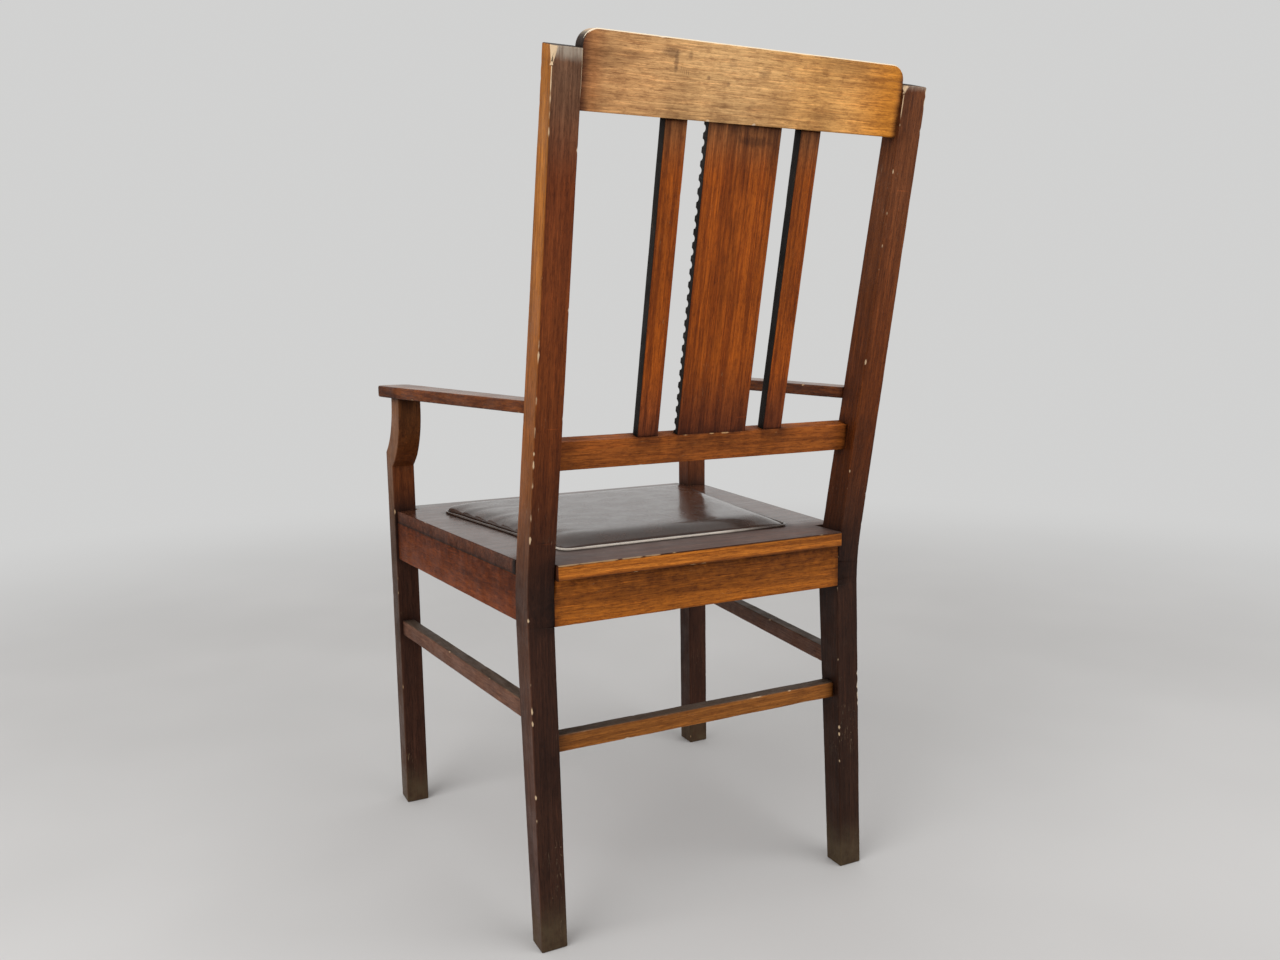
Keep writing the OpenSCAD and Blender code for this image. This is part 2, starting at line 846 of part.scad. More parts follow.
module crest_dowels() {
    color(hidden_colour) place() both_sides() left_crest_dowels();
}

module corner_block_screws() {
    color(steel_colour) place() both_sides() {
        at_block_screws(front_rail_back, 1) screw(block_screw_l);
        at_block_screws(rail_back_y, -1) screw(block_screw_l);
    }
}

module seat_board_screws() {
    color(steel_colour) place() both_sides() {
        at_board_screw(front_rail_back, 1) screw(board_screw_l);
        at_board_screw(rail_back_y, -1) screw(board_screw_l);
    }
}

rear_post_left();
rear_post_right();
front_post_left();
front_post_right();
crest_rail();
lower_back_rail();
centre_splat();
back_slat_left();
back_slat_right();
front_seat_rail();
rear_seat_rail();
side_seat_rail_left();
side_seat_rail_right();
seat_board();
seat_pad();
arm_left();
arm_right();
side_stretcher_left();
side_stretcher_right();
rear_stretcher();
corner_block_front_left();
corner_block_front_right();
corner_block_rear_left();
corner_block_rear_right();
seat_rail_dowels();
lower_rail_dowels();
crest_dowels();
corner_block_screws();
seat_board_screws();
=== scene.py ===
import math
import random
import bmesh
import bpy
from mathutils import Matrix, Vector, geometry, noise
from mathutils.bvhtree import BVHTree


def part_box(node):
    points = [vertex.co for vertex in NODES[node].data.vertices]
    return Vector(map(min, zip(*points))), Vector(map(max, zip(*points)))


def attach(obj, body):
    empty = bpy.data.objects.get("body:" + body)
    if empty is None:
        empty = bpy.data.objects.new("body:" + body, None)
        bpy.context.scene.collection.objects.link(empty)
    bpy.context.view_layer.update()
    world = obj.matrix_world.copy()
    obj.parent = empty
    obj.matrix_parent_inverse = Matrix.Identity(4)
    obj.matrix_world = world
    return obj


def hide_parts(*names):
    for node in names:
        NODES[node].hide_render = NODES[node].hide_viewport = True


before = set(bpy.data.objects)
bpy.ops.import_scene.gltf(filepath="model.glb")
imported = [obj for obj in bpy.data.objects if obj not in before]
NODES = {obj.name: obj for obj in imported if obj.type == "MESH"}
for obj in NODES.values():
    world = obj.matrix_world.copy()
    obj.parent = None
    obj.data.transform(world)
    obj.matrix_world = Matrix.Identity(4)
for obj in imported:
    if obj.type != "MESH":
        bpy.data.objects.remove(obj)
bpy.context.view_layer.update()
X, Y, Z = Vector((1, 0, 0)), Vector((0, 1, 0)), Vector((0, 0, 1))

# Camera: behind the chair, to the sitter's left, looking down a little
EYE = Vector((0.6227, 1.2617, 0.7042))
YAW, PITCH, ROLL = 0.4634, -0.1395, -0.01451
LENS, SENSOR = 29.784, 36.0

# Points this close are one point (m), and triangles this flat to each other are one face
MERGE = 2e-6
FLAT = math.radians(0.4)
# An edge is an arris from this angle on, and is shaded as sharp from this one
ARRIS_ANGLE = math.radians(25)
SHARP_ANGLE = math.radians(44)
# How near a neighbour touches, and the rounding where two pieces meet in a seam (m)
CONTACT = 0.0004
SEAM = 0.0005
SEAM_LENGTH = 0.1
# Only vertices whose faces are all this small (m2) are marked as worn
ARRIS_FACE = 2e-5
# Dirt gathers near a neighbour, with painted shade: how far it is looked for, and how fast it fades (m)
NEAR = 0.03
GRIME_AND_SHADE_FADE = 0.007
# Faces that look up less than this are edges, where a piece has a second material
TOP_FACING = 0.8


def linked(name, data):
    """A new object in the scene."""
    obj = bpy.data.objects.new(name, data)
    bpy.context.scene.collection.objects.link(obj)
    return obj


def smooth(mesh):
    mesh.polygons.foreach_set("use_smooth", [True] * len(mesh.polygons))


def dress(obj, material):
    """Gives an object this one material."""
    obj.data.materials.clear()
    obj.data.materials.append(material)


# ---------- the CAD's shapes, read from its meshes ----------

def clean_copy(node):
    """The CAD node's mesh with its triangles merged into flat faces."""
    bm = bmesh.new()
    bm.from_mesh(NODES[node].data)
    bmesh.ops.remove_doubles(bm, verts=bm.verts, dist=MERGE)
    bmesh.ops.dissolve_limit(bm, angle_limit=FLAT, verts=bm.verts, edges=bm.edges)
    return bm


def tree_of(node):
    """Search tree of a CAD node's surface."""
    mesh = NODES[node].data
    faces = [tuple(p.vertices) for p in mesh.polygons]
    return BVHTree.FromPolygons([v.co for v in mesh.vertices], faces)


TREES = {name: tree_of(name) for name in NODES}
BOXES = {name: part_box(name) for name in NODES}


def neighbours(node):
    """Search trees of the nodes whose boxes come near this one."""
    lo, hi = BOXES[node]
    near = []
    for name, (a, b) in BOXES.items():
        if name != node and all(a[i] < hi[i] + NEAR and b[i] > lo[i] - NEAR for i in range(3)):
            near.append(TREES[name])
    return near


def gap(point, trees, reach):
    """Distance to the nearest of the trees, or reach if none is that close."""
    best = reach
    for tree in trees:
        hit = tree.find_nearest(point, best)
        if hit[3] is not None:
            best = min(best, hit[3])
    return best


def longest_direction(node):
    """Direction of a node's longest edge, pointing up."""
    bm = clean_copy(node)
    edge = max(bm.edges, key=lambda e: e.calc_length())
    line = edge.verts[0].co - edge.verts[1].co
    bm.free()
    return line.normalized() * (1 if line.z > 0 else -1)


RAKE = longest_direction("back_slat_left")
KNEE_Z = min(NODES["rear_post_left"].data.vertices, key=lambda v: v.co.y).co.z


def middle_y(node, z, span):
    """Middle depth of a node's vertices within span of a height."""
    ys = [v.co.y for v in NODES[node].data.vertices if abs(v.co.z - z) < span]
    return (min(ys) + max(ys)) / 2


# ---------- worn wooden pieces ----------

def frame_of(along, across):
    """Rotation that takes part positions to (along, across, through) the grain."""
    return Matrix((along, across, along.cross(across)))


# Each piece is cut from its own place in the wood: its seed moves it this far along and across
SHIFT_ALONG, SHIFT_ACROSS = 1.7, 0.31


def grain_place(piece, point):
    """Where a point lies in the piece's own wood, in metres along, across and through its grain."""
    if piece["grain"] == "post":
        foot, knee, top = piece["line"]
        if point.z > KNEE_Z:
            centre = knee + (top - knee) * (point.z - KNEE_Z) / (BOXES["rear_post_left"][1].z - KNEE_Z)
        else:
            centre = foot + (knee - foot) * point.z / KNEE_Z
        local = Vector((point.z, point.y - centre, point.x))
    else:
        local = piece["turn"] @ point
    return local + Vector((piece["seed"] * SHIFT_ALONG, piece["seed"] * SHIFT_ACROSS, 0))


def arris_weights(bm, trees, min_edge):
    """Marks the edges to round: full size where an arris is open, a seam where a long one meets."""
    layer = bm.edges.layers.float.new("bevel_weight_edge")
    open_lines = []
    for e in bm.edges:
        if len(e.link_faces) != 2 or e.calc_face_angle_signed() < ARRIS_ANGLE:
            continue
        a, b = e.verts[0].co, e.verts[1].co
        if e.calc_length() < min_edge:
            continue
        spots = [a.lerp(b, f) for f in (0.12, 0.5, 0.88)]
        touching = sum(gap(p, trees, 0.001) < CONTACT for p in spots)
        if touching == 0:
            e[layer] = 1.0
            open_lines.append((a.copy(), b.copy()))
        elif touching == len(spots) and e.calc_length() > SEAM_LENGTH:
            e[layer] = -1.0
    return open_lines, layer


def bevelled(bm, layer, width, name):
    """The same shape with its marked edges rounded."""
    for e in bm.edges:
        if e[layer] < 0:
            e[layer] = SEAM / width
    mesh = bpy.data.meshes.new(name)
    bm.to_mesh(mesh)
    bm.free()
    obj = linked(name, mesh)
    mod = obj.modifiers.new("arris", "BEVEL")
    mod.width = width
    mod.segments = 3
    mod.limit_method = "WEIGHT"
    mod.use_clamp_overlap = False
    mod.miter_outer = "MITER_SHARP"
    graph = bpy.context.evaluated_depsgraph_get()
    out = bmesh.new()
    out.from_object(obj, graph)
    bpy.data.objects.remove(obj)
    bpy.data.meshes.remove(mesh)
    return out


def slice_up(bm, axis, step):
    """Cuts the mesh across one axis every step, so that its arrises can be worn."""
    reach = [v.co.dot(axis) for v in bm.verts]
    low, high = min(reach), max(reach)
    count = int((high - low) / step)
    for k in range(1, count):
        at = low + (high - low) * k / count
        bmesh.ops.bisect_plane(bm, geom=bm.verts[:] + bm.edges[:] + bm.faces[:], dist=MERGE,
                               plane_co=axis * at, plane_no=axis)


def nearest_on(lines, point):
    """Distance to the nearest of the lines, and the nearest spot on it."""
    best, where = 1e9, None
    for a, b in lines:
        spot, t = geometry.intersect_point_line(point, a, b)
        spot = a if t < 0 else b if t > 1 else spot
        d = (spot - point).length_squared
        if d < best:
            best, where = d, spot
    return math.sqrt(best), where


def chip_field(lines, chips, sizes, placed, rng):
    """Chips along the arrises: (centre, half length, depth as a share of the rounding)."""
    lengths = [(b - a).length for a, b in lines]
    field = []
    for _ in range(chips):
        a, b = rng.choices(lines, lengths)[0]
        size = rng.uniform(*sizes)
        field.append((a.lerp(b, rng.random()), size, rng.uniform(0.3, 0.9)))
    return field + list(placed)


# How fine the rubbing, the roughness and the ragged chips along an arris are (1/m)
RUB_SCALE, ROUGH_SCALE, CHIP_SCALE = 22, 420, 900
# How far from the arris the wood moves and is marked, as a share of the rounding
WEAR_REACH, MARK_REACH = 1.35, 0.8


def wear(bm, piece, lines, field, width, uneven):
    """Grows the rounding where the arris is rubbed or chipped, and marks the bare wood there."""
    worn_layer = bm.verts.layers.float.new("worn")
    reach = width * WEAR_REACH
    seed = Vector((piece["seed"], 0, 0))
    for v in bm.verts:
        d, spot = nearest_on(lines, v.co)
        if d > reach:
            continue
        rub = max(0.0, noise.noise(spot * RUB_SCALE + seed) + 0.15) * uneven
        rough = noise.noise(spot * ROUGH_SCALE + seed) * uneven * 0.35
        chip = 0.0
        for centre, size, depth in field:
            far = (spot - centre).length / size
            if far < 1:
                ragged = 0.75 + 0.5 * noise.noise(spot * CHIP_SCALE + seed)
                chip = max(chip, depth * (1 - far ** 3) * ragged)
        grow = 1 + max(0.0, rub + rough + chip)
        v.co = spot + (v.co - spot) * grow
        if d < width * MARK_REACH and max(f.calc_area() for f in v.link_faces) < ARRIS_FACE:
            v[worn_layer] = min(1.0, 0.2 + 0.5 * rub + 1.2 * chip)


def grime_and_shade(bm, trees):
    """Marks how close each point is to a neighbour, where dirt and stain gather and shade is painted.
    """
    layer = bm.verts.layers.float.new("grime_and_shade")
    for v in bm.verts:
        v[layer] = math.exp(-gap(v.co, trees, NEAR) / GRIME_AND_SHADE_FADE)


def finish_mesh(bm, piece, name):
    """The finished piece, with its place in the grain stored and its flat faces shaded flat."""
    grain = bm.verts.layers.float_vector.new("grain")
    for v in bm.verts:
        v[grain] = grain_place(piece, v.co)
    mesh = bpy.data.meshes.new(name)
    bm.to_mesh(mesh)
    bm.free()
    smooth(mesh)
    mesh.set_sharp_from_angle(angle=SHARP_ANGLE)
    obj = linked(name, mesh)
    even = obj.modifiers.new("flat_faces", "WEIGHTED_NORMAL")
    even.keep_sharp = True
    even.weight = 90
    return obj


def wooden(node, material, along, across=None, width=0.0012, step=0.006, chips=14,
           sizes=(0.0012, 0.0028), placed=(), uneven=0.6, min_edge=0.0, second=None, edges=None):
    """A worn copy of a CAD node, with rounded and chipped arrises, in its own wood. along and across
    are the directions of its grain (None follows a kneed post), width is the rounding, step the
    spacing of the cuts along the grain, and second a further axis and spacing. chips is the number
    of random chips of these sizes, added to the placed ones. uneven is how rubbed the arrises are,
    and edges is the material of the faces that don't look up."""
    rng = random.Random(node)
    piece = {"seed": rng.uniform(1, 40), "grain": "post" if along is None else "line"}
    if along is None:
        piece["line"] = (middle_y(node, 0, 0.001), middle_y(node, KNEE_Z, 0.03),
                         middle_y(node, BOXES[node][1].z, 0.02))
    else:
        piece["turn"] = frame_of(along, across or Z)
    trees = neighbours(node)
    bm = clean_copy(node)
    lines, layer = arris_weights(bm, trees, min_edge)
    bm = bevelled(bm, layer, width, node + "_tmp")
    slice_up(bm, Z if along is None else along, step)
    if second:
        slice_up(bm, *second)
    field = chip_field(lines, chips, sizes, placed, rng)
    wear(bm, piece, lines, field, width, uneven)
    grime_and_shade(bm, trees)
    obj = finish_mesh(bm, piece, node + "_worn")
    obj.data.materials.append(material)
    if edges:
        obj.data.materials.append(edges)
        for face in obj.data.polygons:
            face.material_index = int(face.normal.z < TOP_FACING)
    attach(obj, "root")
    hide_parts(node)


# ---------- materials ----------

class Nodes:
    """Short names for building a material's nodes."""

    def __init__(self, name):
        self.material = bpy.data.materials.new(name)
        self.material.use_nodes = True
        self.tree = self.material.node_tree
        self.shader = self.tree.nodes["Principled BSDF"]

    def make(self, kind, **values):
        node = self.tree.nodes.new(kind)
        for key, value in values.items():
            setattr(node, key, value)
        return node

    def feed(self, socket, value):
        if isinstance(value, bpy.types.NodeSocket):
            self.tree.links.new(value, socket)
        else:
            socket.default_value = value

    def attribute(self, name, output):
        return self.make("ShaderNodeAttribute", attribute_name=name).outputs[output]

    def place(self):
        return self.make("ShaderNodeTexCoord").outputs["Object"]

    def split(self, vector):
        node = self.make("ShaderNodeSeparateXYZ")
        self.feed(node.inputs[0], vector)
        return node.outputs

    def stretch(self, vector, scale):
        node = self.make("ShaderNodeVectorMath", operation="MULTIPLY")
        self.feed(node.inputs[0], vector)
        node.inputs[1].default_value = scale
        return node.outputs[0]

    def noise(self, vector, scale=1.0, detail=3.0, rough=0.55, distort=0.0):
        node = self.make("ShaderNodeTexNoise")
        self.feed(node.inputs["Vector"], vector)
        node.inputs["Scale"].default_value = scale
        node.inputs["Detail"].default_value = detail
        node.inputs["Roughness"].default_value = rough
        node.inputs["Distortion"].default_value = distort
        return node.outputs["Fac"]

    def window(self, value, low, high, out_low=0.0, out_high=1.0):
        """Maps low..high to out_low..out_high, smoothly and clamped."""
        node = self.make("ShaderNodeMapRange", interpolation_type="SMOOTHSTEP")
        self.feed(node.inputs[0], value)
        for i, number in enumerate((low, high, out_low, out_high), 1):
            node.inputs[i].default_value = number
        return node.outputs[0]

    def math(self, operation, a, b=0.0, clamp=False):
        node = self.make("ShaderNodeMath", operation=operation, use_clamp=clamp)
        self.feed(node.inputs[0], a)
        self.feed(node.inputs[1], b)
        return node.outputs[0]

    def mix(self, factor, a, b, blend="MIX"):
        """Mixes two colours: inputs 6 and 7 and output 2 are the node's colour sockets."""
        node = self.make("ShaderNodeMix", data_type="RGBA", blend_type=blend)
        self.feed(node.inputs["Factor"], factor)
        self.feed(node.inputs[6], a if isinstance(a, bpy.types.NodeSocket) else (*a, 1))
        self.feed(node.inputs[7], b if isinstance(b, bpy.types.NodeSocket) else (*b, 1))
        return node.outputs[2]

    def tint(self, factor, colour, tone):
        """The colour, multiplied by the tone where factor says."""
        return self.mix(factor, colour, self.mix(1.0, colour, tone, "MULTIPLY"))

    def bump(self, height, distance, normal=None):
        node = self.make("ShaderNodeBump")
        node.inputs["Distance"].default_value = distance
        self.feed(node.inputs["Height"], height)
        if normal is not None:
            self.feed(node.inputs["Normal"], normal)
        return node.outputs[0]


def levels(n, coordinate, stops):
    """Colour that changes along a coordinate: stops are (place, colour), in order."""
    colour = stops[0][1]
    for (a, _), (b, tone) in zip(stops, stops[1:]):
        colour = n.mix(n.window(coordinate, a, b), colour, tone)
    return colour


FOOT_DIRT = (0.082, 0.057, 0.03)
RUBBED_PALE = (0.34, 0.28, 0.22)
END_GRAIN = (0.03, 0.02, 0.014)


def wood(name, stops, light, bare, dark=0.55, edge=0.45, gloss=(0.4, 0.62), dirt_and_shade=0.8,
         streak=0.6, feet=0.0, pore=0.5, specular=0.12, sides=None, side_from=0.6, outward_painted_lit=False,
         tops=None, band=None, axis=2, stains=(), cross=0.0, rim=None, relief=1.0,
         dull=None):
    """Stained wood: stops give its colour up the height of the chair (or along axis 0, across it),
    light is how much paler its rubbed streaks are, and bare is the wood under the finish. sides is
    the colour of the faces that look left and right, or only of those that look outward, which on
    the posts is painted light that makes their outward sides lighter; tops is that of the faces
    that look up. band is the height from which the wood is rubbed pale. stains are
    (centre, reach, strength, tone), cross is the strength of the short mottled figure, rim is the
    colour of a highlight painted along the upper arris, relief scales the grain that stands out of
    the surface, and dull is the two depths between which the polish is lost towards the back."""
    n = Nodes(name)
    grain = n.attribute("grain", "Vector")
    worn = n.attribute("worn", "Fac")
    near = n.attribute("grime_and_shade", "Fac")
    place = n.place()
    height = n.split(place)[2]
    base = levels(n, n.split(place)[axis], stops)
    facing = n.split(n.make("ShaderNodeNewGeometry").outputs["True Normal"])
    # the colour of the sides; where only the outward faces take it, as on the posts, it is painted
    # light
    if sides:
        turned = n.window(n.math("ABSOLUTE", facing[0]), side_from, side_from + 0.2)
        if outward_painted_lit:
            away = n.math("MULTIPLY", facing[0], n.split(place)[0])
            turned = n.math("MULTIPLY", turned, n.window(away, 0.05, 0.1))
        base = n.mix(turned, base, levels(n, height, sides))
    if tops:
        base = n.mix(n.window(facing[2], 0.6, 0.8), base, tops)
    # the figure, from broad rubbed streaks to bands, dashes, flecks, fibres and pores
    broad = n.noise(n.stretch(grain, (2.2, 24, 24)), 1, 4, 0.6, 0.4)
    pale = n.mix(1.0, base, tuple([light] * 3), "MULTIPLY")
    colour = n.mix(n.window(broad, 0.34, 0.68), base, pale)
    bands = n.noise(n.stretch(grain, (4.5, 210, 210)), 1, 5, 0.7, 0.2)
    colour = n.tint(n.window(bands, 0.42, 0.6, streak, 0.0), colour, (dark, dark * 0.88, dark * 0.8))
    dash = n.noise(n.stretch(grain, (38, 620, 620)), 1, 4, 0.7)
    colour = n.tint(n.window(dash, 0.5, 0.63, 0.0, pore), colour, (0.42, 0.34, 0.3))
    lit = n.noise(n.stretch(grain, (22, 480, 480)), 1, 3, 0.7)
    colour = n.tint(n.window(lit, 0.52, 0.66, 0.0, 0.6), colour, (1.6, 1.55, 1.5))
    fleck = n.noise(n.stretch(grain, (85, 400, 400)), 1, 4, 0.75)
    colour = n.tint(n.window(fleck, 0.5, 0.62, 0.0, pore), colour, (0.5, 0.42, 0.38))
    fibre = n.noise(n.stretch(grain, (26, 1300, 1300)), 1, 3, 0.6)
    colour = n.tint(n.window(fibre, 0.4, 0.62, 0.32, 0.0), colour, (0.5, 0.42, 0.38))
    pores = n.noise(n.stretch(grain, (190, 3100, 3100)), 1, 2, 0.5)
    pore_mask = n.window(pores, 0.6, 0.68)
    colour = n.tint(n.math("MULTIPLY", pore_mask, pore), colour, (0.3, 0.24, 0.22))
    if cross:
        figure = n.noise(n.stretch(grain, (60, 110, 110)), 1, 5, 0.7)
        colour = n.tint(n.window(figure, 0.46, 0.64, 0.0, cross), colour, (0.6, 0.52, 0.5))
    # marks at their own places, with ragged edges, and blotches all over
    for centre, reach, strength, tone in stains:
        away = n.make("ShaderNodeVectorMath", operation="SUBTRACT")
        n.feed(away.inputs[0], place)
        away.inputs[1].default_value = centre
        size = n.make("ShaderNodeVectorMath", operation="LENGTH")
        n.feed(size.inputs[0], n.stretch(away.outputs[0], [1 / r for r in reach]))
        blur = n.math("ADD", size.outputs["Value"], n.noise(place, 240, 3, 0.7))
        colour = n.tint(n.window(blur, 1.5, 0.8, 0.0, strength), colour, tone)
    blotch = n.noise(n.stretch(grain, (9, 26, 26)), 1, 4, 0.6)
    colour = n.tint(n.window(blotch, 0.53, 0.72, 0.0, 0.55), colour, (0.45, 0.4, 0.38))
    # dark old polish and dirt, with painted shade, in the corners and against the neighbouring pieces
    rag = n.noise(place, 90, 3, 0.6)
    corner = n.math("MULTIPLY", n.math("MULTIPLY", near, n.window(rag, 0.2, 0.7, 0.6, 1.2)), dirt_and_shade, True)
    colour = n.tint(corner, colour, (0.2, 0.16, 0.15))
    # patches of hairline scratches, mostly along the grain
    scratch = n.noise(n.stretch(grain, (18, 210, 210)), 1, 1, 0.4, 1.2)
    line = n.math("MULTIPLY", n.window(scratch, 0.492, 0.499), n.window(scratch, 0.508, 0.501))
    patch = n.window(n.noise(place, 17, 2), 0.56, 0.66)
    hair = n.math("MULTIPLY", line, patch)
    hair = n.math("MULTIPLY", hair, n.window(fleck, 0.4, 0.6))
    colour = n.mix(n.math("MULTIPLY", hair, 0.3), colour, bare)
    # rubbed and dirty feet, battered pale tops of the posts, and a highlight painted along the upper
    # arris
    if feet:
        low = n.math("MULTIPLY", n.window(height, 0.075, 0.005),
                     n.window(n.noise(place, 60, 4, 0.65), 0.25, 0.7, 0.35, 1.0))
        colour = n.mix(n.math("MULTIPLY", low, feet, True), colour, FOOT_DIRT)
    if band:
        ragged = n.math("ADD", height, n.math("MULTIPLY", n.math("ADD", bands, rag), 0.007))
        top = n.math("MULTIPLY", n.window(ragged, band - 0.003, band + 0.009),
                     n.window(lit, 0.3, 0.55, 0.4, 0.95))
        top = n.math("MULTIPLY", top, n.window(facing[1], 0.5, 0.7))
        colour = n.mix(top, colour, RUBBED_PALE)
        broken = n.math("MULTIPLY", n.math("ABSOLUTE", facing[0]), facing[1])
        broken = n.math("MULTIPLY", n.window(broken, 0.3, 0.38),
                        n.window(height, band - 0.04, band - 0.03))
        colour = n.mix(broken, colour, bare)
        colour = n.mix(n.window(facing[2], 0.6, 0.8), colour, END_GRAIN)
    # painted highlight: a pale line on the rounded upper arris, where it looks up and back
    if rim:
        upper = n.math("MULTIPLY", n.window(facing[2], 0.3, 0.45), n.window(facing[2], 0.97, 0.9))
        colour = n.mix(n.math("MULTIPLY", upper, n.window(facing[1], 0.1, 0.3)), colour, rim)
    # finish rubbed through on the arrises, and bare wood in the chips
    fray = n.noise(n.stretch(grain, (60, 260, 260)), 1, 4, 0.6)
    frayed = n.math("ADD", worn, n.math("MULTIPLY", fray, 0.7))
    edge_mask = n.math("MULTIPLY", n.window(frayed, 0.78, 1.15), edge, True)
    colour = n.mix(edge_mask, colour, bare)
    # gloss, lower where the finish is worn, dirty or lost, and the relief of the grain
    rub = n.noise(place, 26, 4, 0.6)
    shine = n.window(rub, 0.35, 0.68, gloss[0], gloss[1])
    shine = n.math("ADD", shine, n.math("MULTIPLY", n.math("ADD", edge_mask, corner), 0.2), True)
    if dull:
        lost = n.math("MULTIPLY", n.window(n.split(place)[1], *dull),
                      n.window(rub, 0.2, 0.6, 0.75, 1.0))
        shine = n.math("ADD", shine, n.math("MULTIPLY", lost, 0.42), True)
    n.feed(n.shader.inputs["Base Color"], colour)
    n.feed(n.shader.inputs["Roughness"], shine)
    n.shader.inputs["Specular IOR Level"].default_value = specular
    stand = n.math("SUBTRACT", n.math("MULTIPLY", fibre, 0.6), n.math("MULTIPLY", pore_mask, 0.7))
    stand = n.math("SUBTRACT", stand, n.math("MULTIPLY", hair, 0.8))
    normal = n.bump(stand, 0.00012 * relief)
    normal = n.bump(n.noise(n.stretch(grain, (14, 60, 60)), 1, 2), 0.0006, normal)
    n.feed(n.shader.inputs["Normal"], normal)
    return n.material


# What a stain multiplies the colour by: a dark smear, a pale hairline crack, and near-black painted
# shade for the gaps in the board's notches at the rear posts
SMUDGE = (0.38, 0.36, 0.4)
CRACK = (2.2, 1.9, 1.6)
PAINTED_NOTCH_SHADE = (0.12, 0.1, 0.1)

# Places below are in metres, in the chair's own frame, and colours are linear
# Painted light: the outward sides of the posts are lighter than their backs, most near the top, as if
# lit from the side
POST_LIT_SIDES = [(0.0, (0.07, 0.032, 0.022)), (0.4, (0.085, 0.036, 0.02)), (0.62, (0.29, 0.095, 0.018)),
              (0.95, (0.42, 0.155, 0.02))]
POST_LEFT = wood("post_wood_left", [(0.0, (0.033, 0.013, 0.007)), (0.4, (0.036, 0.013, 0.007)),
                                    (0.62, (0.15, 0.036, 0.0065)), (0.84, (0.15, 0.036, 0.008)),
                                    (0.95, (0.2, 0.1, 0.055))],
                 1.4, (0.62, 0.45, 0.28), feet=0.8, edge=0.8, band=0.966, sides=POST_LIT_SIDES, outward_painted_lit=True,
                 stains=[((0.207, 0.2248, 0.603), (0.012, 0.02, 0.0007), 0.5, CRACK),
                         ((0.205, 0.1989, 0.475), (0.014, 0.02, 0.0007), 0.5, CRACK),
                         ((0.213, 0.1989, 0.4765), (0.009, 0.02, 0.0007), 0.7, SMUDGE)])
POST_RIGHT = wood("post_wood_right", [(0.0, (0.028, 0.011, 0.0055)), (0.4, (0.03, 0.011, 0.0055)),
                                      (0.62, (0.12, 0.029, 0.0045)), (0.95, (0.14, 0.044, 0.013))],
                  1.4, (0.62, 0.45, 0.28), feet=0.8, edge=0.8, band=0.974, sides=POST_LIT_SIDES, outward_painted_lit=True,
                  stains=[((-0.213, 0.2769, 0.86), (0.011, 0.02, 0.0007), 0.7, CRACK)])
ARM = wood("arm_wood", [(0.5, (0.1, 0.026, 0.0035)), (0.7, (0.11, 0.03, 0.005))],
           2.1, (0.55, 0.34, 0.17), edge=0.85, streak=1.0, cross=0.3)
ARM_TOP = wood("arm_top_wood", [(0.6, (0.2, 0.085, 0.035))],
               1.6, (0.55, 0.34, 0.17), edge=0.5, gloss=(0.24, 0.36), specular=1.0, relief=0.3)
# The front posts' outward sides are painted lighter too, as if lit from the side
FRONT = wood("front_post_wood", [(0.0, (0.041, 0.0155, 0.0085)), (0.43, (0.047, 0.017, 0.009)),
                                 (0.5, (0.14, 0.038, 0.009)), (0.6, (0.13, 0.045, 0.012))],
             1.5, (0.55, 0.36, 0.2), feet=0.8, edge=0.7, outward_painted_lit=True,
             sides=[(0.3, (0.07, 0.034, 0.02)), (0.6, (0.2, 0.09, 0.04))])
RAIL = wood("rail_wood", [(0.38, (0.37, 0.115, 0.011)), (0.6, (0.32, 0.092, 0.014))],
            1.5, (0.6, 0.38, 0.18), edge=0.6, pore=0.6, cross=0.35,
            sides=[(0.3, (0.15, 0.05, 0.02)), (0.4, (0.185, 0.042, 0.007))])
STRETCHER = wood("stretcher_wood", [(0.2, (0.225, 0.082, 0.014)), (0.3, (0.21, 0.074, 0.014))],
                 1.5, (0.62, 0.45, 0.28), edge=0.8, tops=(0.085, 0.062, 0.046),
                 sides=[(0.2, (0.13, 0.06, 0.038)), (0.3, (0.13, 0.06, 0.036))])
SLAT = wood("slat_wood", [(0.59, (0.14, 0.033, 0.008)), (0.68, (0.31, 0.07, 0.0045)),
                          (0.86, (0.31, 0.072, 0.005)), (0.92, (0.23, 0.088, 0.028))],
            1.45, (0.5, 0.28, 0.12), edge=0.35, streak=0.95, cross=0.25,
            sides=[(0.5, (0.009, 0.006, 0.005)), (0.9, (0.01, 0.007, 0.005))],
            stains=[((-0.012, 0.2755, 0.902), (0.03, 0.03, 0.007), 0.7, SMUDGE),
                    ((-0.0835, 0.25, 0.79), (0.022, 0.08, 0.18), 0.3, SMUDGE),
                    ((-0.012, 0.24, 0.745), (0.012, 0.03, 0.03), 0.3, SMUDGE),
                    ((-0.0388, 0.2076, 0.6031), (0.012, 0.02, 0.0012), 0.5, CRACK),
                    ((-0.0456, 0.21, 0.6134), (0.002, 0.02, 0.012), 0.5, CRACK)])
